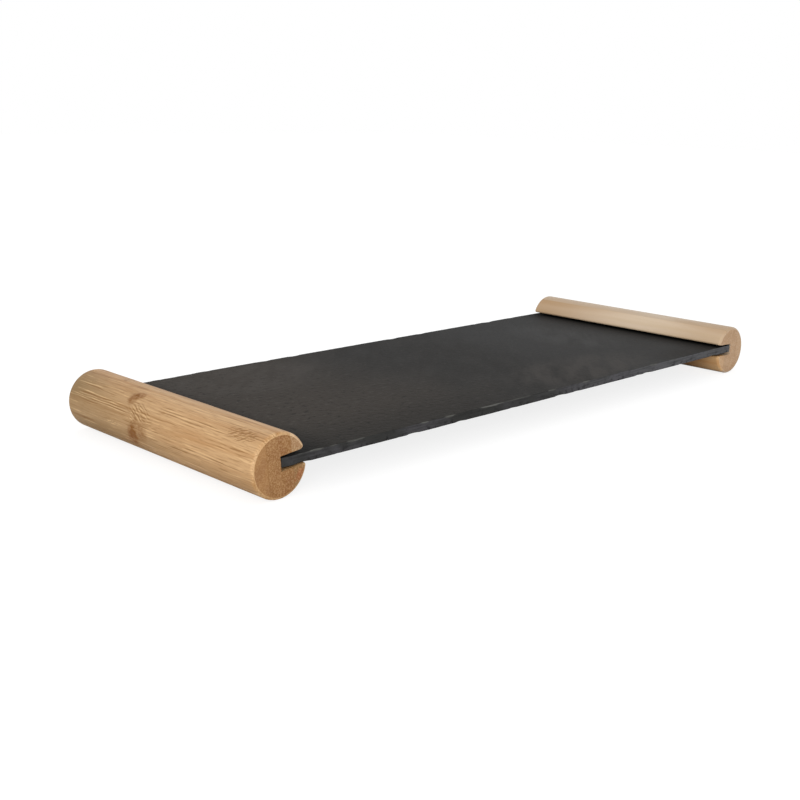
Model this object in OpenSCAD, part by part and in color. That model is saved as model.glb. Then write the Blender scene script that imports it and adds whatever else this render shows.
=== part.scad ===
// Slate serving board: a riven slate slab whose two short ends sit loosely in
// the grooves of two round bars, each glued from bamboo strips.
// X runs along the slab, Y along the bars and Z up. The origin lies on the table
// under the middle of the board.

/* [Board] */
// Width of the board, which is the length of each bar
board_w = 150; // [90:1:260]

/* [Bars] */
// Diameter of each bar
bar_d = 30; // [26:1:40]
// Rounding of the rim at both ends of a bar
rim_r = 1.75; // [0.5:0.25:4]
// Thickness of the bamboo strips that a bar is glued from
strip_t = 6.6; // [4:0.2:9]

/* [Groove] */
// Depth of the groove, from the bar's side to the groove's back wall
groove_depth = 14.5; // [9:0.5:17]
// Height that the groove has over the slab's thickness
groove_play = 2.5; // [1:0.1:3]
// Height of the groove's middle over the bar's axis
groove_lift = 0.85; // [0:0.05:1.5]
// Rounding of the two lips at the groove's mouth
lip_r = 1; // [0.4:0.1:2]
// Bamboo between the groove's back wall and the glue line behind it
web_t = 0.4; // [0.3:0.1:2]

/* [Slate slab] */
// Length of the slab, with the ends that the grooves hide
slab_len = 368; // [200:1:560]
// Thickness of the slab
slab_t = 4.5; // [3.6:0.1:6]
// Bevel along the slab's arrises
arris = 0.4; // [0.2:0.1:0.8]

/* [Chipped arrises] */
// Depth of the largest chip, measured square to the arris
chip_depth = 0.9; // [0.3:0.1:1.4]
// Length of the largest chip along the arris
chip_len = 11; // [6:1:16]
// Number of chips along each long arris
chip_count = 15; // [4:1:24]

/* [Fit] */
// Least gap between the slab and a lip or a groove's roof
running_gap = 0.3; // [0.15:0.05:0.45]
// Gap between the slab's end and the groove's back wall
end_gap = 0.5; // [0.4:0.1:1.5]
// How far the left bar leans back, as a share of what the groove allows
left_lean_share = 0.7; // [0:0.02:1]
// How far the right bar leans back, as a share of what the groove allows
right_lean_share = 0.18; // [0:0.02:1]

/* [Hidden] */

// Faces of a whole turn round the bar, and round a small rounding or a chip
bar_fn = 72;
small_fn = 32;
chip_fn = 48;

// Cuts run past what they cut by this length
overrun = 1;

// In a bar's own frame the axis is Y, and the groove's mouth looks along +X.
bar_r = bar_d / 2;
groove_h = slab_t + groove_play;
roof_z = groove_lift + groove_h / 2;
floor_z = groove_lift - groove_h / 2;
groove_back_x = bar_r - groove_depth;
slab_end_x = groove_back_x + end_gap;

// Glue lines between the strips, counted from the one behind the groove
inner_seam_x = groove_back_x - web_t;
outer_seam_x = inner_seam_x - strip_t;
lip_seam_x = inner_seam_x + strip_t;

// Centre of the lower lip's rounding, which touches the bar's side and the groove
lower_lip_z = floor_z - lip_r;
lower_lip_x = lip_centre_x(lower_lip_z);

// The slab jams when it bears on the lower lip and, at its end, on the roof. A
// bar can lean back as far as that, less the gap that is kept at both places.
full_lean = atan((groove_play - 2 * running_gap) / (lower_lip_x - slab_end_x));
left_lean = full_lean * left_lean_share;
right_lean = full_lean * right_lean_share;

// Distance of a lip's rounding from the bar's axis along the groove, by its height
function lip_centre_x(z) = sqrt(pow(bar_r - lip_r, 2) - pow(z, 2));

// Height of the lower lip over the bar's axis at a lean
function lip_top(lean) = lower_lip_x * sin(lean) + lower_lip_z * cos(lean) + lip_r;

bar_x = slab_len / 2 + slab_end_x;
slab_bottom_z = bar_r + max(lip_top(left_lean), lip_top(right_lean)) + running_gap;

// A chip is the bite of a ball that stands off the arris.
function ball_r(bite, len) = (pow(len / 2, 2) + pow(bite, 2)) / (2 * bite);

// Places and sizes of the chips vary along the arris by a few unequal waves.
function chip_place_share(i, wave) =
    (i + 0.5 + 0.34 * sin(137 * i + 61 * wave)) / chip_count - 0.5;
function chip_size_share(i, wave) = 0.66 + 0.34 * sin(97 * i + 41 * wave);

// Half of the bar's outline, from its axis to its side, with rounded rims
module bar_half_outline() {
    half = board_w / 2;
    translate([0, -half])
        square([bar_r - rim_r, board_w]);
    translate([0, -half + rim_r])
        square([bar_r, board_w - 2 * rim_r]);
    for (end = [-1, 1])
        translate([bar_r - rim_r, end * (half - rim_r)])
            circle(rim_r, $fn = small_fn);
}

module turned_bar() {
    rotate([90, 0, 0])
        rotate_extrude($fn = bar_fn)
            intersection() {
                bar_half_outline();
                translate([0, -board_w])
                    square([bar_d, 2 * board_w]);
            }
}

// What is cut from the sharp corner of a lip whose face in the groove lies at a
// height, between the points where the rounding touches the side and that face
module lip_corner(face_z) {
    z = face_z + lip_r;
    x = lip_centre_x(z);
    out = (bar_r + overrun) / (bar_r - lip_r);
    difference() {
        polygon([
            [x, z],
            [x, face_z - overrun],
            [x * out, face_z - overrun],
            [x * out, z * out],
        ]);
        translate([x, z])
            circle(lip_r, $fn = small_fn);
    }
}

// Section of all that is cut for the groove
module groove_section() {
    translate([groove_back_x, floor_z])
        square([groove_depth + overrun, groove_h]);
    lip_corner(roof_z);
    mirror([0, 1])
        lip_corner(-floor_z);
}

module groove_cut() {
    translate([0, board_w / 2 + overrun, 0])
        rotate([90, 0, 0])
            linear_extrude(board_w + 2 * overrun)
                groove_section();
}

// A box as wide as the bar between two distances from its axis
module layer(x_from, x_to, z_from = -bar_d, z_to = bar_d) {
    translate([x_from, -board_w, z_from])
        cube([x_to - x_from, 2 * board_w, z_to - z_from]);
}

// The part of the grooved bar that lies in one layer of the glued block
module bar_layer(x_from, x_to, z_from = -bar_d, z_to = bar_d) {
    difference() {
        intersection() {
            turned_bar();
            layer(x_from, x_to, z_from, z_to);
        }
        groove_cut();
    }
}

module outer_strip() {
    color("#c09464")
        bar_layer(-bar_d, outer_seam_x);
}

module middle_strip() {
    color("#b58556")
        bar_layer(outer_seam_x, inner_seam_x);
}

module groove_strip() {
    color("#a97a4c")
        bar_layer(inner_seam_x, lip_seam_x);
}

module upper_lip() {
    color("#d0aa7c")
        bar_layer(lip_seam_x, bar_d, z_from = 0);
}

module lower_lip() {
    color("#bd8a58")
        bar_layer(lip_seam_x, bar_d, z_to = 0);
}

// Puts a bar on the table at one end of the board, leaning away from the slab
module on_left() {
    translate([-bar_x, 0, bar_r])
        rotate([0, -left_lean, 0])
            children();
}

module on_right() {
    translate([bar_x, 0, bar_r])
        rotate([0, right_lean, 0])
            mirror([1, 0, 0])
                children();
}

// Rectangle round the origin with its corners cut off
module bevelled(size_a, size_b) {
    a = size_a / 2;
    b = size_b / 2;
    polygon([
        [a, b - arris],
        [a - arris, b],
        [arris - a, b],
        [-a, b - arris],
        [-a, arris - b],
        [arris - a, -b],
        [a - arris, -b],
        [a, arris - b],
    ]);
}

module bevelled_slab() {
    intersection() {
        rotate([90, 0, 90])
            linear_extrude(slab_len, center = true)
                bevelled(board_w, slab_t);
        rotate([90, 0, 0])
            linear_extrude(board_w, center = true)
                bevelled(slab_len, slab_t);
    }
}

// One chip, bitten out of the arris that runs along X through the origin. The
// slab lies towards -Y and -Z.
module chip(size_share) {
    bite = chip_depth * size_share;
    ball = ball_r(bite, chip_len * size_share);
    reach = (ball - bite) / sqrt(2);
    translate([0, reach, reach])
        sphere(ball, $fn = chip_fn);
}

// The chips along the upper or the lower arris on the +Y side
module chips(up, wave) {
    for (i = [0 : chip_count - 1])
        translate([slab_len * chip_place_share(i, wave), board_w / 2, up * slab_t / 2])
            mirror([0, 0, up > 0 ? 0 : 1])
                chip(chip_size_share(i, wave));
}

module slate_slab() {
    color("#4b4a4a")
        translate([0, 0, slab_bottom_z + slab_t / 2])
            difference() {
                bevelled_slab();
                chips(1, 0);
                chips(-1, 1);
                mirror([0, 1, 0])
                    chips(1, 2);
                mirror([0, 1, 0])
                    chips(-1, 3);
            }
}

slate_slab();
on_left() outer_strip();  // handle_left_outer_strip
on_left() middle_strip();  // handle_left_middle_strip
on_left() groove_strip();  // handle_left_groove_strip
on_left() upper_lip();  // handle_left_upper_lip
on_left() lower_lip();  // handle_left_lower_lip
on_right() outer_strip();  // handle_right_outer_strip
on_right() middle_strip();  // handle_right_middle_strip
on_right() groove_strip();  // handle_right_groove_strip
on_right() upper_lip();  // handle_right_upper_lip
on_right() lower_lip();  // handle_right_lower_lip
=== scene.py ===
"""Looks of a slate serving board: a riven slab whose two ends sit in grooved bamboo bars."""

import math

import bmesh
import bpy
import numpy as np
from mathutils import Matrix, Vector


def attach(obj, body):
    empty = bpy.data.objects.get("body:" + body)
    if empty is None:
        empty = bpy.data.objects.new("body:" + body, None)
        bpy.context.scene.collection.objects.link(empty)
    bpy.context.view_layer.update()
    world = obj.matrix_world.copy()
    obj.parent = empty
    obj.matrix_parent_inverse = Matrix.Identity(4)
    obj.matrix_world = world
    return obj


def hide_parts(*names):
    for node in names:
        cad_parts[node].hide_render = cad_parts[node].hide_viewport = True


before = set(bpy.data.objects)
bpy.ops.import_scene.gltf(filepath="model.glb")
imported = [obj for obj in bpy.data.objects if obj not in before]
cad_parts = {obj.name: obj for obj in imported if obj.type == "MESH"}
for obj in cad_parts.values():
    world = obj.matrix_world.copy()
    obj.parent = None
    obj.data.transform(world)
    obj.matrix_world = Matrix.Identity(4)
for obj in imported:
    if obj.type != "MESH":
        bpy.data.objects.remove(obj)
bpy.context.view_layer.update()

# Sizes, in millimetres. In a bar's own frame u points from its axis out of the groove's
# mouth, y runs along the bar, and w is the third direction, upwards but for the lean.
MM = 0.001

# The two bars' sides of the board, and how far each bar leans away from the slab, in degrees
LEFT = -1
RIGHT = 1
LEAN = {LEFT: 6.042, RIGHT: 1.554}

HALF_WIDTH = 75
BAR_RADIUS = 14.99
RIM_ROUNDING = 1.75
RIM_START = HALF_WIDTH - RIM_ROUNDING
BAR_AXIS_X = 185
BAR_AXIS_Z = 15

GROOVE_ROOF = 4.35
GROOVE_FLOOR = -2.65
GROOVE_BACK = 0.5
LIP_ROUNDING = 1
INNER_SEAM = 0.1
OUTER_SEAM = -6.5
LIP_SEAM = 6.7
GLUE_HALF = 0.02
SEAM_EASE = 0.08

HALF_LENGTH = 184
HALF_THICKNESS = 2.25
SLAB_MIDDLE_Z = 16.343


def smooth(value):
    """Smooth step of a share from 0 to 1."""
    share = np.clip(value, 0, 1)
    return share * share * (3 - 2 * share)


# Materials
class Wire:
    """A socket of a node tree. Arithmetic on it adds Math nodes."""

    def __init__(self, nodes, socket):
        self.nodes = nodes
        self.socket = socket

    def math(self, operation, *values):
        return self.nodes.node("Math", {"operation": operation}, dict(enumerate(values)))

    def __add__(self, other):
        return self.math("ADD", self, other)

    def __radd__(self, other):
        return self.math("ADD", other, self)

    def __sub__(self, other):
        return self.math("SUBTRACT", self, other)

    def __rsub__(self, other):
        return self.math("SUBTRACT", other, self)

    def __mul__(self, other):
        return self.math("MULTIPLY", self, other)

    def __rmul__(self, other):
        return self.math("MULTIPLY", other, self)

    def __abs__(self):
        return self.math("ABSOLUTE", self)


def paint(hex_colour):
    """Linear colour of an sRGB hex colour."""
    parts = [int(hex_colour[i:i + 2], 16) / 255 for i in (0, 2, 4)]
    linear = [p / 12.92 if p <= 0.04045 else ((p + 0.055) / 1.055) ** 2.4 for p in parts]
    return (*linear, 1)


class Nodes:
    """A node tree in the making."""

    def __init__(self, tree):
        self.tree = tree

    def set(self, socket, value):
        """Links a wire to a socket, or sets the socket's own value."""
        if isinstance(value, Wire):
            self.tree.links.new(value.socket, socket)
        elif hasattr(socket.default_value, "__len__") and not hasattr(value, "__len__"):
            socket.default_value = [value] * len(socket.default_value)
        else:
            socket.default_value = value

    def node(self, kind, settings=None, sockets=None, out=0):
        """Adds a node of any type: its settings first, then its sockets' values or links."""
        made = self.tree.nodes.new("ShaderNode" + kind)
        for setting, value in (settings or {}).items():
            setattr(made, setting, value)
        for place, value in (sockets or {}).items():
            self.set(made.inputs[place], value)
        return Wire(self, made.outputs[out])

    def vector(self, operation, first, second=(0, 0, 0), out=0, **sockets):
        return self.node("VectorMath", {"operation": operation}, {0: first, 1: second, **sockets}, out)

    def part(self, vector, axis):
        return self.node("SeparateXYZ", None, {0: vector}, out=axis)

    def rise(self, value, low, high):
        """0 at low, 1 at high and a smooth step between, also where low is above high."""
        return self.node("MapRange", {"interpolation_type": "SMOOTHSTEP"}, {
            "Value": value, "From Min": low, "From Max": high})

    def mix(self, share, first, second):
        """Colour between two colours."""
        return self.node("Mix", {"data_type": "RGBA"}, {0: share, 6: first, 7: second}, out=2)

    def place(self, origin=(0, 0, 0), turn=(0, 0, 0), unit=(MM, MM, MM)):
        """The object's own coordinates, in millimetres from an origin."""
        own = self.node("TexCoord", out="Object")
        return self.node("Mapping", {"vector_type": "TEXTURE"}, {
            "Vector": own, "Location": origin, "Rotation": turn, "Scale": unit})

    def stretched(self, place, sizes, shift):
        """Coordinates in which one unit is the given size in each direction."""
        return self.vector("DIVIDE", self.vector("ADD", place, shift), sizes)

    def noise(self, place, sizes, shift=(0, 0, 0), detail=2, roughness=0.5, out=0):
        """Noise from 0 to 1 with features of the given sizes."""
        return self.node("TexNoise", None, {
            "Vector": self.stretched(place, sizes, shift), "Scale": 1, "Detail": detail,
            "Roughness": roughness}, out)

    def grains(self, place, sizes, shift=(0, 0, 0), out="Distance"):
        """Cells of the given sizes: the distance from a cell's middle, or a random colour."""
        return self.node("TexVoronoi", {"feature": "F1"}, {
            "Vector": self.stretched(place, sizes, shift), "Scale": 1, "Randomness": 1}, out)

    def streaks(self, place, sizes, shift, apart):
        """A noise less the same noise a little apart, so that each dark streak has a pale one by it."""
        beside = (shift[0] + apart, shift[1], shift[2] + apart)
        return self.noise(place, sizes, shift) - self.noise(place, sizes, beside)

    def inside(self, place, patches):
        """How far a place lies inside any of some soft-edged patches."""
        total = 0
        for patch in patches:
            offset = self.vector("DIVIDE", self.vector("SUBTRACT", place, patch.middle), patch.sizes)
            away = self.vector("LENGTH", offset, out="Value")
            total = total + self.rise(away, 1, 0.4) * patch.strength
        return total

    def dents(self, height, depth, before=None):
        """Bump from a height of 0 to 1, as deep as depth in millimetres."""
        sockets = {"Height": height, "Distance": depth * MM, "Strength": 1.0}
        if before is not None:
            sockets["Normal"] = before
        return self.node("Bump", None, sockets)


class Finish(Nodes):
    """A material in the making."""

    def __init__(self, name):
        self.material = bpy.data.materials.new(name)
        self.material.use_nodes = True
        super().__init__(self.material.node_tree)
        self.surface = self.tree.nodes["Principled BSDF"]

    def wear(self, **looks):
        """Sets the surface's own sockets, such as Base_Color."""
        for name, value in looks.items():
            self.set(self.surface.inputs[name.replace("_", " ")], value)


# Meshes
def solid(name, points, faces, sharp_above):
    """A closed mesh, smooth but for edges that are sharper than an angle in degrees."""
    mesh = bpy.data.meshes.new(name)
    mesh.from_pydata([tuple(p) for p in points], [], faces)
    work = bmesh.new()
    work.from_mesh(mesh)
    bmesh.ops.recalc_face_normals(work, faces=work.faces)
    work.to_mesh(mesh)
    work.free()
    mesh.shade_smooth()
    mesh.set_sharp_from_angle(angle=math.radians(sharp_above))
    piece = bpy.data.objects.new(name, mesh)
    bpy.context.scene.collection.objects.link(piece)
    return piece


def tube_faces(rings, points_in_ring):
    """Quads between the rings of a tube, and a face over each end."""
    faces = []
    for ring in range(rings - 1):
        near = ring * points_in_ring
        far = near + points_in_ring
        for i in range(points_in_ring):
            j = (i + 1) % points_in_ring
            faces.append((near + i, near + j, far + j, far + i))
    faces.append(tuple(range(points_in_ring)))
    faces.append(tuple(range((rings - 1) * points_in_ring, rings * points_in_ring)))
    return faces


# The bars' strips. Each outline is a loop of points (u, w) round a strip's section.
ARC_STEP = math.radians(3.5)
LIP_TIP_STEPS = 9
LIP_SIDE_STEPS = 14
TURN = 2 * math.pi


def arc(radius, start, end, steps, middle=(0, 0)):
    angles = np.linspace(start, end, steps + 1)
    return np.stack([middle[0] + radius * np.cos(angles),
                     middle[1] + radius * np.sin(angles)], axis=1)


def seam_angle(seam, radius):
    return math.acos(seam / radius)


def steps_between(first_seam, last_seam):
    """Steps of the arc between two seams, the same at every station along the bar."""
    span = seam_angle(last_seam, BAR_RADIUS) - seam_angle(first_seam, BAR_RADIUS)
    return max(3, round(span / ARC_STEP))


def eased(u, w_from, w_to):
    """A seam face's two ends, each short of the bar's side by a tiny eased corner."""
    step = math.copysign(SEAM_EASE, w_to - w_from)
    return np.array([[u, w_from + step], [u, w_to - step]])


def outer_outline(radius):
    seam = OUTER_SEAM - GLUE_HALF
    start = seam_angle(seam, radius)
    ease = SEAM_EASE / radius
    half = radius * math.sin(start)
    side = arc(radius, start + ease, TURN - start - ease, 2 * steps_between(OUTER_SEAM, -BAR_RADIUS))
    return np.concatenate([side, eased(seam, -half, half)])


def layer_sides(radius, near_seam, far_seam):
    """The two arcs of a layer between two seams, over the top and back underneath."""
    near = seam_angle(near_seam - GLUE_HALF, radius)
    far = seam_angle(far_seam + GLUE_HALF, radius)
    ease = SEAM_EASE / radius
    steps = steps_between(near_seam, far_seam)
    top = arc(radius, near + ease, far - ease, steps)
    bottom = arc(radius, TURN - far + ease, TURN - near - ease, steps)
    return top, bottom, radius * math.sin(near), radius * math.sin(far)


def middle_outline(radius):
    top, bottom, half_near, half_far = layer_sides(radius, INNER_SEAM, OUTER_SEAM)
    far_face = eased(OUTER_SEAM + GLUE_HALF, half_far, -half_far)
    near_face = eased(INNER_SEAM - GLUE_HALF, -half_near, half_near)
    return np.concatenate([top, far_face, bottom, near_face])


def groove_outline(radius):
    top, bottom, half_near, half_far = layer_sides(radius, LIP_SEAM, INNER_SEAM)
    far_face = eased(INNER_SEAM + GLUE_HALF, half_far, -half_far)
    seam = LIP_SEAM - GLUE_HALF
    groove = np.array([
        [seam, SEAM_EASE - half_near],
        [seam, GROOVE_FLOOR],
        [GROOVE_BACK, GROOVE_FLOOR],
        [GROOVE_BACK, GROOVE_ROOF],
        [seam, GROOVE_ROOF],
        [seam, half_near - SEAM_EASE],
    ])
    return np.concatenate([top, far_face, bottom, groove])


def lip_outline(radius, face_w):
    """A lip over a groove whose face lies at a height over the bar's axis."""
    seam = LIP_SEAM + GLUE_HALF
    far = seam_angle(seam, radius)
    tip_w = face_w + LIP_ROUNDING
    tip_u = math.sqrt((radius - LIP_ROUNDING) ** 2 - tip_w ** 2)
    tip_angle = math.atan2(tip_w, tip_u)
    tip = arc(LIP_ROUNDING, -math.pi / 2, tip_angle, LIP_TIP_STEPS, (tip_u, tip_w))
    side = arc(radius, tip_angle, far - SEAM_EASE / radius, LIP_SIDE_STEPS)[1:]
    face = np.array([[seam, radius * math.sin(far) - SEAM_EASE], [seam, face_w]])
    return np.concatenate([tip, side, face])


def upper_lip_outline(radius):
    return lip_outline(radius, GROOVE_ROOF)


def lower_lip_outline(radius):
    return (lip_outline(radius, -GROOVE_FLOOR) * (1, -1))[::-1]


RIM_STEPS = 9
BODY_STEPS = 56
SWELL_HEIGHT = 0.05
SWELL_LENGTH = 5


def stations():
    """Places along the bar, close together on the two rounded rims."""
    turns = np.linspace(0, math.pi / 2, RIM_STEPS + 1)
    rim = RIM_START + RIM_ROUNDING * np.sin(turns)
    body = np.linspace(-RIM_START, RIM_START, BODY_STEPS + 1)
    return np.concatenate([-rim[::-1], body[1:-1], rim])


def turned_radius(y, knuckle):
    """Radius at a station: a faint swell at the strip's knuckle and a rounding at the rims."""
    swell = math.exp(-((y - knuckle) / SWELL_LENGTH) ** 2)
    radius = BAR_RADIUS - SWELL_HEIGHT * (1 - swell)
    past = abs(y) - RIM_START
    if past <= 0:
        return radius
    return radius - RIM_ROUNDING + math.sqrt(max(0, RIM_ROUNDING ** 2 - past ** 2))


def bar_strip(name, outline, side, knuckle):
    """One strip of the left or the right bar, swollen at its knuckle."""
    along = stations()
    rings = np.stack([outline(turned_radius(y, knuckle)) for y in along])
    u = rings[:, :, 0]
    w = rings[:, :, 1]
    y = np.broadcast_to(along[:, None], u.shape)
    lean = math.radians(LEAN[side])
    x = side * (BAR_AXIS_X - (u * math.cos(lean) - w * math.sin(lean)))
    z = BAR_AXIS_Z + u * math.sin(lean) + w * math.cos(lean)
    points = np.stack([x, y, z], axis=-1).reshape(-1, 3) * MM
    return solid(name, points, tube_faces(len(along), rings.shape[1]), sharp_above=32)


# Bamboo. The sizes of its grain are in millimetres: across, along and across the fibres.
# A turn is in radians.
SWAY = (6, 32, 6)
EDDY = (2.4, 3.6, 2.4)
EDDY_REACH = 5
BAND = (4.5, 110, 4.5)
LONG_LINE = (0.85, 40, 0.85)
FINE_LINE = (0.8, 15, 0.8)
DASH = (2.4, 13, 2.4)
HAIR = (0.7, 7, 0.7)
STROKE_WIDTH = 0.9
KNUCKLE_EDGE = (3.2, 5, 3.2)
KNUCKLE_BLOTCH = (2, 3, 2)
KNUCKLE_WIDTH = 5
KNUCKLE_RAGGED = 9
FIBRE_BUNDLE = (0.7, 60, 0.7)
BUNDLE_ROW = (7, 60, 0.9)
BUNDLE_ROW_TURN = 0.8
END_CLOUD = (5, 60, 5)
GLUE_LINE_WIDTH = 0.35


class Patch:
    """A soft-edged place on a bar's side. Angles count from the groove's mouth over the top."""

    def __init__(self, y, angle, half_length, half_width, strength=1.0):
        turn = math.radians(angle)
        self.y = y
        self.middle = (BAR_RADIUS * math.cos(turn), y, BAR_RADIUS * math.sin(turn))
        self.round = (-math.sin(turn), 0, math.cos(turn))
        self.sizes = (half_width, half_length, half_width)
        self.strength = strength


class Strokes(Patch):
    """A patch of short strokes that run askew to the fibres."""

    def __init__(self, y, angle, half_length, half_width, slope, length, strength=1.0, browner=0.0):
        super().__init__(y, angle, half_length, half_width, strength)
        self.slope = slope
        self.length = length
        self.browner = browner


class Tones:
    """The colours of a strip along its fibres, of its knots, and of its browner places or painted shade.
    """

    def __init__(self, light, base, warm, dark, knot, brown_or_shade):
        self.light = paint(light)
        self.base = paint(base)
        self.warm = paint(warm)
        self.dark = paint(dark)
        self.knot = paint(knot)
        self.brown_or_shade = paint(brown_or_shade)


PAST_THE_END = 90


class Strip:
    """How one strip looks: its tones, its cut ends, its knuckle, and what marks stand out."""

    def __init__(self, tones, seed, end, end_spot, dotted=1.0, lined=1.0, knuckle=PAST_THE_END,
                 knuckle_strength=0.0, lines=(), strokes=(), blots=(), browned_or_shaded=()):
        self.tones = tones
        self.shift = (17.3 * seed, 41.7 * seed, 29.1 * seed)
        self.end = paint(end)
        self.end_spot = paint(end_spot)
        self.dotted = dotted
        self.lined = lined
        self.knuckle = knuckle
        self.knuckle_strength = knuckle_strength
        self.lines = lines
        self.strokes = strokes
        self.blots = blots
        self.browned_or_shaded = browned_or_shaded


def bar_place(f, side, askew=0):
    """Millimetres in a bar's own frame, or in one that is turned askew about the bar's axis."""
    lean = side * math.radians(LEAN[side])
    return f.place(origin=(side * BAR_AXIS_X * MM, 0, BAR_AXIS_Z * MM),
                   turn=(0, lean + askew, 0), unit=(-side * MM, MM, MM))


def knuckle_ring(f, place, strip):
    """How near the strip's knuckle is: a ring round the bar, ragged on both sides."""
    ragged = f.noise(place, KNUCKLE_EDGE, strip.shift, detail=3, roughness=0.65)
    away = abs(f.part(place, "Y") - strip.knuckle) + (ragged - 0.5) * KNUCKLE_RAGGED
    return f.rise(away, KNUCKLE_WIDTH, 1) * strip.knuckle_strength


def along_fibres(f, place, ring, shift):
    """Places followed along the fibres, which sway a little, and whirl near a knuckle."""
    middle = (0.5, 0.5, 0.5)
    sway = f.vector("SUBTRACT", f.noise(place, SWAY, shift, out="Color"), middle)
    eddy = f.vector("SUBTRACT", f.noise(place, EDDY, shift, out="Color"), middle)
    eddy = f.vector("SCALE", eddy, Scale=ring * EDDY_REACH)
    return f.vector("ADD", f.vector("ADD", place, sway), eddy)


def wood_lines(f, place, fibre, bands, ring, strip):
    """Lines on a bar's side, dark above 0 and pale below it.

    Long thin ones are broken into dashes, finer ones are everywhere, and short strokes slant.
    """
    shift = strip.shift
    y = f.part(place, "Y")
    dashes = f.noise(fibre, DASH, shift, roughness=0.6)
    clear = 0.3 + f.inside(place, strip.lines) * 0.5 + ring * 0.6 + f.rise(bands, 0.5, 0.7) * 0.2
    clear = clear * (0.4 + f.rise(dashes, 0.4, 0.62) * 0.9)
    long_lines = f.streaks(fibre, LONG_LINE, shift, apart=0.4) * clear
    elsewhere = f.vector("SCALE", fibre, Scale=-1)
    fine_lines = f.streaks(elsewhere, FINE_LINE, shift, apart=0.38)
    fine_lines = fine_lines * (0.4 - f.rise(y, 15, 50) * 0.12)
    lines = (long_lines + fine_lines) * strip.lined
    for patch in strip.strokes:
        skew = f.vector("SCALE", patch.round, Scale=(y - patch.y) * patch.slope)
        skewed = f.vector("ADD", place, skew)
        stroke = (STROKE_WIDTH, patch.length, STROKE_WIDTH)
        strokes = f.streaks(skewed, stroke, shift, apart=0.42) + patch.browner
        lines = lines + strokes * f.inside(place, [patch])
    return lines


def cut_end(f, place, side, strip):
    """A bar's end, where each bundle of fibres is a dot and the glue shows as lines.

    Gives its colour, the distance to the middle of each bundle, and where the dots are dark.
    """
    tones = strip.tones
    shift = strip.shift
    bundle = f.grains(place, FIBRE_BUNDLE, shift)
    kind = f.part(f.grains(place, FIBRE_BUNDLE, shift, out="Color"), "Y")
    cloud = f.noise(place, END_CLOUD, shift)
    rows = f.noise(bar_place(f, side, askew=BUNDLE_ROW_TURN), BUNDLE_ROW, shift)
    picked = f.rise(kind + cloud * 0.5 + rows * 1.5, 1.2, 1.7)
    dot = f.rise(bundle, 0.55, 0.2) * picked * strip.dotted
    gap = f.rise(bundle, 0.45, 0.75) * strip.dotted
    wood = f.mix(f.rise(cloud, 0.4, 0.6), strip.end, strip.end_spot)
    wood = f.mix(gap * 0.18, wood, tones.light)
    wood = f.mix(dot * 0.6, wood, tones.dark)
    u = f.part(place, "X")
    glue = 0
    for seam in (OUTER_SEAM, LIP_SEAM):
        glue = glue + f.rise(abs(u - seam), GLUE_LINE_WIDTH, 0.1)
    return f.mix(glue * 0.4, wood, tones.dark), bundle, dot


def bamboo(name, side, strip):
    """Bamboo whose fibres run along the bar: fine lines on its sides, dots on its ends."""
    f = Finish(name)
    tones = strip.tones
    shift = strip.shift
    place = bar_place(f, side)
    ring = knuckle_ring(f, place, strip)
    fibre = along_fibres(f, place, ring, shift)
    bands = f.noise(fibre, BAND, shift)
    hairs = f.noise(fibre, HAIR, shift, roughness=0.6)
    lines = wood_lines(f, place, fibre, bands, ring, strip)
    dark_line = f.rise(lines, 0.01, 0.18)
    pale_line = f.rise(lines, -0.02, -0.18)

    side_wood = f.mix(f.rise(bands, 0.36, 0.66), tones.base, tones.warm)
    side_wood = f.mix(f.rise(hairs, 0.5, 0.75) * 0.3 * strip.lined, side_wood, tones.dark)
    # Browner places, and painted shade: the near bar is darker towards its far end and underneath, and
    # the far bar's lower lip is darker under the slab.
    side_wood = f.mix(f.inside(place, strip.browned_or_shaded), side_wood, tones.brown_or_shade)
    side_wood = f.mix(pale_line * 0.6, side_wood, tones.light)
    side_wood = f.mix(dark_line * 0.68, side_wood, tones.dark)

    # The knuckle and the blots are browner, and blotchy.
    blotchy = 0.55 + f.rise(f.noise(place, KNUCKLE_BLOTCH, shift, detail=3), 0.4, 0.6) * 0.45
    blot = (f.inside(place, strip.blots) + ring * 0.5) * blotchy
    side_wood = f.mix(blot * 0.85, side_wood, tones.knot)

    # The rounded rim cuts the fibres slantwise, and a painted highlight, speckled by the fibre bundles,
    # makes it paler than the side and the end.
    end_wood, bundle, dot = cut_end(f, place, side, strip)
    cut = f.rise(abs(f.part(f.node("NewGeometry", out="Normal"), "Y")), 0.90, 0.99)
    on_side = 1 - cut
    wood = f.mix(cut, side_wood, end_wood)
    # Painted highlight along the rounded rim.
    wood = f.mix(cut * on_side * (1 + bundle), wood, tones.light)

    rough = 0.46 + hairs * 0.12 + cut * 0.14
    fine = f.dents(hairs, 0.05)
    pores = f.dents(1 - dark_line * on_side - dot * cut, 0.04, before=fine)
    lumps = f.dents(blot * on_side, 0.08, before=pores)
    f.wear(Base_Color=wood, Roughness=rough, Normal=lumps, Specular_IOR_Level=0.35)
    return f.material


HONEY = Tones("e0bb8a", "c49d70", "b38757", "7c5218", knot="7d4c08", brown_or_shade="786038")
# The upper lip's paler honey is partly its own tone and partly painted sheen, which stands for the light
# on the top of the near bar.
HONEY_PALE_PAINTED_SHEEN = Tones("eed4ac", "d5b28a", "c69f76", "8c623a", knot="8c5a1c", brown_or_shade="8c5a1c")
CREAM = Tones("e0cfb8", "d6c0a6", "d1ba9d", "a07c56", knot="9a6c2a", brown_or_shade="9a6c2a")
CREAM_COOL = Tones("d3c2ac", "c9b69f", "c5b098", "a07c56", knot="9a6c2a", brown_or_shade="9a6c2a")
CREAM_WARM = Tones("e8d0b0", "cfa878", "c2905c", "96683c", knot="7c4212", brown_or_shade="7c4212")

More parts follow.
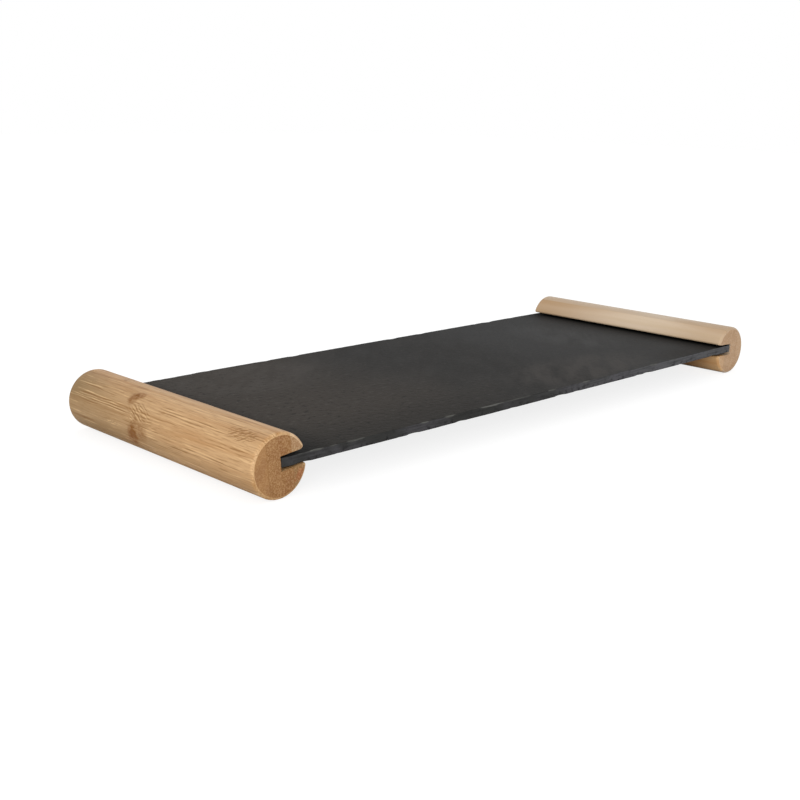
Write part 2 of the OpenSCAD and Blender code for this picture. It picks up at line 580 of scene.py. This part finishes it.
# The left bar is the near one in the photograph, and has its marks where they are there.
NEAR_LINES = (
    Patch(y=-66, angle=151, half_length=17, half_width=4.2),
    Patch(y=-22, angle=126, half_length=42, half_width=1.8, strength=0.9),
    Patch(y=-3, angle=160, half_length=12, half_width=1.8, strength=0.6),
    Patch(y=-24, angle=175, half_length=52, half_width=3.4, strength=0.9),
    Patch(y=46, angle=146, half_length=34, half_width=3.6, strength=0.8),
    Patch(y=50, angle=125, half_length=34, half_width=1.6, strength=0.7),
)
NEAR_STROKES = (
    Strokes(y=-60, angle=118, half_length=13, half_width=5, slope=-0.45, length=3.2, strength=0.9,
            browner=0.09),
    Strokes(y=13, angle=146, half_length=12, half_width=6, slope=0.32, length=4.6, strength=0.85,
            browner=0.03),
    Strokes(y=-1, angle=158, half_length=9, half_width=3, slope=-0.1, length=5, strength=0.4),
    Strokes(y=14, angle=168, half_length=5, half_width=3.4, slope=-0.2, length=3, strength=0.6),
    Strokes(y=33, angle=177, half_length=7, half_width=2, slope=-0.2, length=3, strength=0.5),
)
NEAR_BLOTS = (
    Patch(y=19.5, angle=112, half_length=4.4, half_width=2.8, strength=1.0),
    Patch(y=22.5, angle=123, half_length=4.6, half_width=4.4, strength=0.95),
    Patch(y=16.5, angle=190, half_length=5.2, half_width=6.4, strength=0.9),
    Patch(y=11.5, angle=180, half_length=10, half_width=6.5, strength=0.8),
    Patch(y=18, angle=206, half_length=9, half_width=5, strength=0.6),
    Patch(y=14, angle=160, half_length=2, half_width=1.2, strength=0.5),
    Patch(y=-3, angle=130, half_length=4, half_width=1.1, strength=0.4),
    Patch(y=-60, angle=116, half_length=12, half_width=4.5, strength=0.18),
)
# Painted shade: the near bar grows darker towards its far end and along its underside.
NEAR_PAINTED_SHADE = (
    Patch(y=130, angle=172, half_length=170, half_width=30, strength=0.52),
    Patch(y=-20, angle=215, half_length=130, half_width=12, strength=0.25),
    Patch(y=95, angle=125, half_length=60, half_width=14, strength=0.3),
)
NEAR_MARKS = {"lines": NEAR_LINES, "strokes": NEAR_STROKES, "blots": NEAR_BLOTS, "browned_or_shaded": NEAR_PAINTED_SHADE}

# The right bar, the far one, is browner towards both ends, most of all on its upper lip.
FAR_SEAM_BROWNED = (
    Patch(y=-84, angle=68, half_length=62, half_width=8, strength=0.19),
    Patch(y=62, angle=64, half_length=88, half_width=6.5, strength=0.15),
)
FAR_BROWNED = (
    Patch(y=-110, angle=90, half_length=98, half_width=200, strength=0.24),
    Patch(y=130, angle=90, half_length=142, half_width=200, strength=0.12),
    Patch(y=-42, angle=72, half_length=13, half_width=2.4, strength=0.12),
    Patch(y=0, angle=76, half_length=15, half_width=2.4, strength=0.1),
) + FAR_SEAM_BROWNED
FAR_LIP_BROWNED = (
    Patch(y=-110, angle=30, half_length=98, half_width=200, strength=0.27),
    Patch(y=130, angle=30, half_length=142, half_width=200, strength=0.5),
) + FAR_SEAM_BROWNED
# Painted shade: the far bar's lower lip is darker where it lies under the slab.
FAR_LOW_PAINTED_SHADE = (
    Patch(y=-20, angle=-40, half_length=52, half_width=40, strength=0.75),
)

STRIPS = {
    "handle_left_outer_strip": (LEFT, outer_outline, Strip(
        HONEY, seed=1, end="9c7246", end_spot="946a41", dotted=0.6, **NEAR_MARKS)),
    "handle_left_middle_strip": (LEFT, middle_outline, Strip(
        HONEY, seed=1, end="946b41", end_spot="8c6239", **NEAR_MARKS)),
    "handle_left_groove_strip": (LEFT, groove_outline, Strip(
        HONEY, seed=3, end="8e643a", end_spot="885c35", knuckle=44, knuckle_strength=0.6)),
    "handle_left_upper_lip": (LEFT, upper_lip_outline, Strip(
        HONEY_PALE_PAINTED_SHEEN, seed=4, end="a17e58", end_spot="9b7651", knuckle=-12, knuckle_strength=0.6)),
    "handle_left_lower_lip": (LEFT, lower_lip_outline, Strip(
        HONEY, seed=3.4, end="86633c", end_spot="935d38", knuckle=44, knuckle_strength=0.6)),
    "handle_right_outer_strip": (RIGHT, outer_outline, Strip(
        CREAM, seed=5, end="bc9a78", end_spot="b59270", lined=0.3, knuckle=-22,
        knuckle_strength=0.4, browned_or_shaded=FAR_BROWNED)),
    "handle_right_middle_strip": (RIGHT, middle_outline, Strip(
        CREAM_COOL, seed=6, end="bc9a78", end_spot="b59270", lined=0.15, browned_or_shaded=FAR_BROWNED)),
    "handle_right_groove_strip": (RIGHT, groove_outline, Strip(
        CREAM_COOL, seed=7, end="bc9a78", end_spot="b59270", lined=0.15, browned_or_shaded=FAR_BROWNED)),
    "handle_right_upper_lip": (RIGHT, upper_lip_outline, Strip(
        CREAM, seed=8, end="bc9a78", end_spot="b59270", lined=0.15, browned_or_shaded=FAR_LIP_BROWNED)),
    "handle_right_lower_lip": (RIGHT, lower_lip_outline, Strip(
        CREAM_WARM, seed=8.3, end="c6a27c", end_spot="be9872", lined=0.5,
        browned_or_shaded=FAR_LOW_PAINTED_SHADE)),
}

for node, (side, outline, strip) in STRIPS.items():
    piece = bar_strip(node + "_bamboo", outline, side, strip.knuckle)
    piece.data.materials.append(bamboo(node + "_bamboo", side, strip))
    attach(piece, "handle_left" if side == LEFT else "handle_right")
    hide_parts(node)
    pale = side == RIGHT or node == "handle_left_upper_lip"


# The slate slab. Its points lie in rows along X, even ones on the faces and closer ones at
# set distances from the long edges.
COLUMN_STEP = 0.85
ROW_STEP = 2
EDGE_ROWS = (3.2, 2.4, 1.8, 1.35, 1.0, 0.7, 0.5, 0.32)
EDGE_STEPS = 7
CORNER_STEPS = 4
ARRIS_ROUNDING = 0.2
END_EASE = 0.35

# Depths of the riven faces' swells and split sheets, of the edges' layers, and of the chips
SWELL_DEPTH = 0.12
SHEET_DEPTH = 0.035
SHEET_LEVELS = (0.36, 0.47, 0.56, 0.66)
LAYER_DEPTH = 0.24
CHIP_DEPTH = 0.9
CHIP_LENGTH = 11
CHIP_COUNT = 15

# The noise repeats after this many cells, and starts this many cells into its lattice.
LATTICE_CELLS = 512
LATTICE_START = (173.3, 91.7)


def lattice_noise(x, y, size_x, size_y, seed):
    """Smooth noise from 0 to 1 with features of the given sizes, in millimetres."""
    values = np.random.default_rng(seed).random((LATTICE_CELLS, LATTICE_CELLS))
    across = x / size_x + LATTICE_START[0]
    up = y / size_y + LATTICE_START[1]
    column = np.floor(across).astype(int)
    row = np.floor(up).astype(int)
    right = smooth(across - column)
    above = smooth(up - row)

    def corner(columns_on, rows_on):
        return values[(column + columns_on) % LATTICE_CELLS, (row + rows_on) % LATTICE_CELLS]

    low = corner(0, 0) + (corner(1, 0) - corner(0, 0)) * right
    high = corner(0, 1) + (corner(1, 1) - corner(0, 1)) * right
    return low + (high - low) * above


def rough_noise(x, y, size, seed, octaves=4, stretch=1.0):
    """Noise of several sizes, each half as large and half as strong as the one before."""
    total = 0
    strength = 1
    whole = 0
    for octave in range(octaves):
        shrink = 2 ** octave
        total = total + strength * lattice_noise(
            x, y, size * stretch / shrink, size / shrink, seed + octave)
        whole += strength
        strength /= 2
    return total / whole


def riven_depth(x, y, seed):
    """How deep the riven face lies under its highest plane, in broad swells and split sheets."""
    depth = SWELL_DEPTH * rough_noise(x, y, 85, seed, octaves=3)
    sheets = rough_noise(x, y, 46, seed + 10, stretch=1.7)
    for level in SHEET_LEVELS:
        depth = depth + SHEET_DEPTH * smooth((sheets - level) / 0.02)
    from_edge = smooth((HALF_WIDTH - np.abs(y)) / 9)
    return depth * (0.25 + 0.75 * from_edge)


def edge_setback(x, seed):
    """How far a dressed long edge stands back from its farthest line."""
    broad = rough_noise(x, 0 * x, 60, seed, octaves=2)
    nicks = rough_noise(x, 0 * x + 50, 7, seed + 5, octaves=3)
    return 0.12 * broad + 0.2 * nicks ** 2


def arris_wear(x, face, seed):
    """How far the ragged facet along an arris reaches, farthest on the upper face's left."""
    broad = rough_noise(x, 0 * x + 9, 19, seed, octaves=3)
    fine = rough_noise(x, 0 * x + 30, 9, seed + 3)
    patches = smooth((broad - 0.4) / 0.14) * (0.3 + 0.9 * fine)
    if face < 0:
        return 0.08 * fine + 0.12 * patches
    to_left = smooth((20 - x) / 120)
    return (0.08 + 0.26 * to_left) * fine + (0.45 + 0.7 * to_left) * patches


def chip_balls(wave):
    """Places along X, sizes and reaches of the balls that bite the chips from one arris."""
    i = np.arange(CHIP_COUNT)
    turn = np.radians(137 * i + 61 * wave)
    share = 0.66 + 0.34 * np.sin(np.radians(97 * i + 41 * wave))
    where = ((i + 0.5 + 0.34 * np.sin(turn)) / CHIP_COUNT - 0.5) * 2 * HALF_LENGTH
    bite = CHIP_DEPTH * share
    ball = ((CHIP_LENGTH * share / 2) ** 2 + bite ** 2) / (2 * bite)
    return where, ball, (ball - bite) / math.sqrt(2)


def quarter_section():
    """Points (y, z) from the slab's middle over its top to the middle of its +Y edge."""
    rows = round((HALF_WIDTH - EDGE_ROWS[0]) / ROW_STEP)
    inner = np.linspace(0, HALF_WIDTH - EDGE_ROWS[0], rows + 1)
    top_y = np.concatenate([inner, [HALF_WIDTH - inset for inset in EDGE_ROWS[1:]]])
    top = np.stack([top_y, np.full_like(top_y, HALF_THICKNESS)], axis=1)
    turns = np.linspace(0, math.pi / 2, CORNER_STEPS + 1)[1:]
    corner = np.stack([HALF_WIDTH - ARRIS_ROUNDING * (1 - np.sin(turns)),
                       HALF_THICKNESS - ARRIS_ROUNDING * (1 - np.cos(turns))], axis=1)
    edge_z = np.linspace(HALF_THICKNESS - ARRIS_ROUNDING, 0, EDGE_STEPS + 1)[1:]
    edge = np.stack([np.full_like(edge_z, HALF_WIDTH), edge_z], axis=1)
    return np.concatenate([top, corner, edge])


def slab_section():
    """The whole section, mirrored from its quarter, as one closed loop."""
    quarter = quarter_section()
    right = np.concatenate([quarter, (quarter * (1, -1))[::-1][1:]])
    left = (right * (-1, 1))[::-1][1:-1]
    return np.concatenate([right, left])


def slab_columns():
    """Places along X, close together at the two eased ends."""
    columns = round(2 * HALF_LENGTH / COLUMN_STEP)
    body = np.linspace(-HALF_LENGTH, HALF_LENGTH, columns + 1)
    ends = HALF_LENGTH - np.array([0, 0.05, 0.16, END_EASE])
    return np.concatenate([-ends, body[1:-1], ends[::-1]])


def dressed(along, across, up):
    """Both long edges wander a little, and their faces split in layers."""
    for edge, seed in ((1, 31), (-1, 57)):
        setback = edge_setback(along, seed)
        layers = LAYER_DEPTH * rough_noise(along, up * 9, 7, seed + 9, octaves=3, stretch=1.6)
        on_edge = smooth((np.abs(across) - (HALF_WIDTH - 0.5)) / 0.4) * (across * edge > 0)
        pull = np.clip(across * edge / HALF_WIDTH, 0, 1) ** 6
        across = across - edge * (setback * pull + layers * on_edge)
    return across


def riven(along, across, up):
    """The riven faces lie under the top plane and over the bottom one."""
    on_top = np.clip((up / HALF_THICKNESS - 0.6) / 0.4, 0, 1)
    beneath = np.clip((-up / HALF_THICKNESS - 0.6) / 0.4, 0, 1)
    sunk = on_top * riven_depth(along, across, 3)
    return up - sunk + beneath * riven_depth(along, across, 7)


def worn(along, across, up):
    """Ragged facets along the four long arrises, and the larger chips bitten out of them.

    Gives the points, and how freshly broken the slate is at each.
    """
    fresh = np.zeros_like(up)
    for wave, (edge, face) in enumerate(((1, 1), (1, -1), (-1, 1), (-1, -1))):
        wear = arris_wear(along, face, 71 + 5 * wave)
        beyond = across * edge - HALF_WIDTH + up * face - HALF_THICKNESS + wear
        pare = np.maximum(beyond, 0) / 2
        across = across - edge * pare
        up = up - face * pare
        fresh = np.maximum(fresh, np.clip(pare / 0.14, 0, 1))
        for where, ball, reach in zip(*chip_balls(wave)):
            middle = (where, edge * (HALF_WIDTH + reach), face * (HALF_THICKNESS + reach))
            away = np.stack([along - middle[0], across - middle[1], up - middle[2]])
            distance = np.sqrt((away ** 2).sum(0))
            inside = distance < ball
            push = np.where(inside, ball / np.maximum(distance, 0.001) - 1, 0)
            along = along + away[0] * push
            across = across + away[1] * push
            up = up + away[2] * push
            fresh = np.maximum(fresh, np.clip((ball - distance) / 0.25, 0, 1))
    return along, across, up, fresh


def eased_ends(columns, along, across, up):
    """The two ends in the grooves are eased all round."""
    to_end = np.clip((HALF_LENGTH - np.abs(columns)) / END_EASE, 0, 1)
    ease = END_EASE * (1 - np.sqrt(1 - (1 - to_end) ** 2))[:, None]
    across = across * (1 - ease / HALF_WIDTH)
    up = up * (1 - ease / HALF_THICKNESS)
    return np.clip(along, -HALF_LENGTH, HALF_LENGTH), across, up


def slate_slab():
    columns = slab_columns()
    section = slab_section()
    shape = (len(columns), len(section))
    along = np.broadcast_to(columns[:, None], shape)
    across = np.broadcast_to(section[:, 0], shape)
    up = np.broadcast_to(section[:, 1], shape)
    across = dressed(along, across, up)
    up = riven(along, across, up)
    along, across, up, fresh = worn(along, across, up)
    along, across, up = eased_ends(columns, along, across, up)
    points = np.stack([along, across, up + SLAB_MIDDLE_Z], axis=-1).reshape(-1, 3) * MM
    piece = solid("slate_slab_riven", points, tube_faces(*shape), sharp_above=60)
    marks = piece.data.attributes.new("fresh_chip", "FLOAT", "POINT")
    marks.data.foreach_set("value", fresh.reshape(-1).astype(np.float32))
    return piece


class SlabPatch:
    """A soft-edged place on the slab's upper face."""

    def __init__(self, x, y, half_length, half_width, tone, strength):
        self.middle = (x, y, SLAB_MIDDLE_Z + HALF_THICKNESS)
        self.sizes = (half_length, half_width, 2 * HALF_THICKNESS)
        self.tone = paint(tone)
        self.strength = strength


# Colours of the slab's faces, then of its long edges and its fresh breaks
SLATE = paint("282726")
SLATE_MOTTLE = paint("2e2d2c")
SLATE_LEFT = paint("3c3732")
SLATE_RIGHT = paint("373737")
SLATE_GRAIN = paint("474542")
PALE_SPECK = paint("4e4a46")
DARK_SPECK = paint("141414")
SHADE_IN_FRONT = paint("1c1c1b")
SHADE_AT_CORNER = paint("1e1a17")
SHADE_AT_BARS = paint("0c0b0a")
EDGE_LEFT = paint("333332")
EDGE_RIGHT = paint("58585a")
EDGE_BAND = paint("58565b")
EDGE_LAYER = paint("222221")
BROKEN_SLATE = paint("62625f")

# The clouds in the slate run slantwise over the slab, turned by this many radians.
CLOUD_TURN = 0.75
PALE_SLATE = (
    SlabPatch(x=55, y=-54, half_length=75, half_width=32, tone="4a4643", strength=0.5),
    SlabPatch(x=122, y=10, half_length=34, half_width=52, tone="4b4b4b", strength=0.4),
    SlabPatch(x=-110, y=48, half_length=70, half_width=42, tone="524e4b", strength=0.3),
)


def slate():
    """Dark riven slate: a dull grey, browner to the left, and paler where it is chipped."""
    f = Finish("slate")
    place = f.place()
    slant = f.place(turn=(0, 0, CLOUD_TURN))
    x = f.part(place, "X")
    y = f.part(place, "Y")
    z = f.part(place, "Z")
    level = abs(f.part(f.node("NewGeometry", out="Normal"), "Z"))
    clouds = f.noise(slant, (90, 42, 30), detail=3)
    mottle = f.noise(slant, (30, 9, 12), (40, 0, 0), detail=3, roughness=0.55)
    grain = f.noise(place, (1.5, 1.3, 1.3), (0, 70, 0), detail=3, roughness=0.65)
    specks = f.noise(place, (3.4, 2.6, 3), (5, 5, 0), detail=3, roughness=0.6)

    # The faces are browner to the left, greyer to the right, and clouded.
    stone = f.mix(f.rise(mottle, 0.3, 0.7), SLATE, SLATE_MOTTLE)
    stone = f.mix(f.rise(x + clouds * 90, 50, -80) * 0.9, stone, SLATE_LEFT)
    stone = f.mix(f.rise(clouds * 70 + x, 60, 130) * 0.7, stone, SLATE_RIGHT)
    for patch in PALE_SLATE:
        stone = f.mix(f.inside(place, [patch]) * f.rise(mottle, 0.2, 0.7), stone, patch.tone)

    # Small pits and grains, most of them towards the front left corner
    coarse = 0.25 + f.rise(x + y * 0.6, 0, -150) * 0.75
    stone = f.mix(f.rise(grain, 0.55, 0.75) * coarse * 0.8, stone, SLATE_GRAIN)
    stone = f.mix(f.rise(specks, 0.56, 0.72) * coarse * 0.7, stone, DARK_SPECK)
    stone = f.mix(f.rise(specks, 0.42, 0.3) * coarse * 0.6, stone, PALE_SPECK)

    # Darker along the front on the left, at the front right corner, and towards both bars
    stone = f.mix(f.rise(y, -25, -75) * f.rise(x, 10, -80) * 0.6, stone, SHADE_IN_FRONT)
    stone = f.mix(f.rise(y, -50, -73) * f.rise(x, 95, 140) * 0.5, stone, SHADE_AT_CORNER)
    stone = f.mix(f.rise(abs(x), 146, 174) * 0.95, stone, SHADE_AT_BARS)

    # The long edges show the layers, grow paler to the right and are pitted low down.
    layers = f.noise(place, (16, 5, 0.9), (0, 0, 31), detail=3, roughness=0.6)
    bands = f.noise(place, (19, 9, 14), (70, 0, 0))
    low = f.rise(z, 16.6, 15)
    edge = f.mix(f.rise(x, -50, 120), EDGE_LEFT, EDGE_RIGHT)
    edge = f.mix(f.rise(bands, 0.4, 0.7) * 0.4, edge, EDGE_BAND)
    edge = f.mix(f.rise(layers, 0.45, 0.68) * 0.5, edge, EDGE_LAYER)
    edge = f.mix(f.rise(specks, 0.52, 0.64) * (0.2 + low * 0.45), edge, DARK_SPECK)
    stone = f.mix(f.rise(level, 0.75, 0.25), stone, edge)
    fresh = f.node("Attribute", {"attribute_name": "fresh_chip"}, out="Fac")
    broken = fresh * (0.4 + f.rise(layers, 0.6, 0.4) * 0.6)
    stone = f.mix(broken * 0.8, stone, BROKEN_SLATE)

    rough = 0.6 + grain * 0.2
    cleft = f.dents(mottle, 0.2)
    pitted = f.dents(f.rise(specks, 0.7, 0.4) * coarse, 0.12, before=cleft)
    fine = f.dents(grain, 0.09, before=pitted)
    f.wear(Base_Color=stone, Roughness=rough, Normal=fine, Specular_IOR_Level=0.06)
    return f.material


slab = slate_slab()
slab.data.materials.append(slate())
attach(slab, "slab")
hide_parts("slate_slab")


# Floor, light and camera
def floor():
    """A floor that the camera sees as white, but for the board's soft shadow."""
    half = 4.0
    mesh = bpy.data.meshes.new("floor")
    mesh.from_pydata([(-half, -half, 0), (half, -half, 0), (half, half, 0), (-half, half, 0)],
                     [], [(0, 1, 2, 3)])
    piece = bpy.data.objects.new("floor", mesh)
    bpy.context.scene.collection.objects.link(piece)
    f = Finish("white_floor")
    f.wear(Base_Color=(0.8, 0.8, 0.8, 1), Roughness=0.9, Specular_IOR_Level=0.0)
    plain = Wire(f, f.surface.outputs[0])
    glow = f.node("Emission", None, {"Color": (1, 1, 1, 1), "Strength": 0.82})
    soft = f.node("BsdfDiffuse", None, {"Color": (0.28, 0.28, 0.28, 1)})
    seen = f.node("AddShader", None, {0: glow, 1: soft})
    to_camera = f.node("LightPath", out="Is Camera Ray")
    both = f.node("MixShader", None, {0: to_camera, 1: plain, 2: seen})
    f.set(f.tree.nodes["Material Output"].inputs["Surface"], both)
    mesh.materials.append(f.material)


def sky(strength):
    """White all round: as bright as white to the camera, and an even light on the board."""
    world = bpy.data.worlds.new("studio")
    bpy.context.scene.world = world
    world.use_nodes = True
    f = Nodes(world.node_tree)
    to_camera = f.node("LightPath", out="Is Camera Ray")
    mirrored = f.node("LightPath", out="Is Glossy Ray")
    white = to_camera.math("MAXIMUM", to_camera, mirrored)
    back = f.tree.nodes["Background"]
    f.set(back.inputs["Color"], (1, 1, 1, 1))
    f.set(back.inputs["Strength"], strength + white * (1 - strength))


def softbox(name, at, size, watts):
    """A square light that faces the board."""
    lamp = bpy.data.lights.new(name, "AREA")
    lamp.shape = "SQUARE"
    lamp.size = size
    lamp.energy = watts
    box = bpy.data.objects.new(name, lamp)
    bpy.context.scene.collection.objects.link(box)
    box.location = at
    box.rotation_euler = (-Vector(at)).to_track_quat("-Z", "Y").to_euler()


def photo_camera():
    """The photograph's camera, found from the board's corners and the bars' ends."""
    at = (-0.472937, -0.431933, 0.164528)
    yaw = 0.78727
    pitch = 0.256
    roll = -0.02438
    ahead = Vector((math.sin(yaw) * math.cos(pitch), math.cos(yaw) * math.cos(pitch), -math.sin(pitch)))
    level = Vector((math.cos(yaw), -math.sin(yaw), 0))
    down = ahead.cross(level)
    right = level * math.cos(roll) + down * math.sin(roll)
    below = down * math.cos(roll) - level * math.sin(roll)
    lens = bpy.data.cameras.new("photo_camera")
    lens.sensor_width = 36
    lens.lens = 51.277
    lens.clip_start = 0.01
    camera = bpy.data.objects.new("photo_camera", lens)
    bpy.context.scene.collection.objects.link(camera)
    turned = Matrix((right, -below, -ahead)).transposed().to_4x4()
    camera.matrix_world = Matrix.Translation(at) @ turned
    bpy.context.scene.camera = camera


floor()
sky(strength=0.7)
softbox("top_light", (0.35, 0.45, 1.3), size=1.2, watts=1.5)
softbox("front_light", (-0.95, -0.85, 0.4), size=0.7, watts=8.5)
photo_camera()
bpy.context.scene.view_settings.view_transform = "Standard"
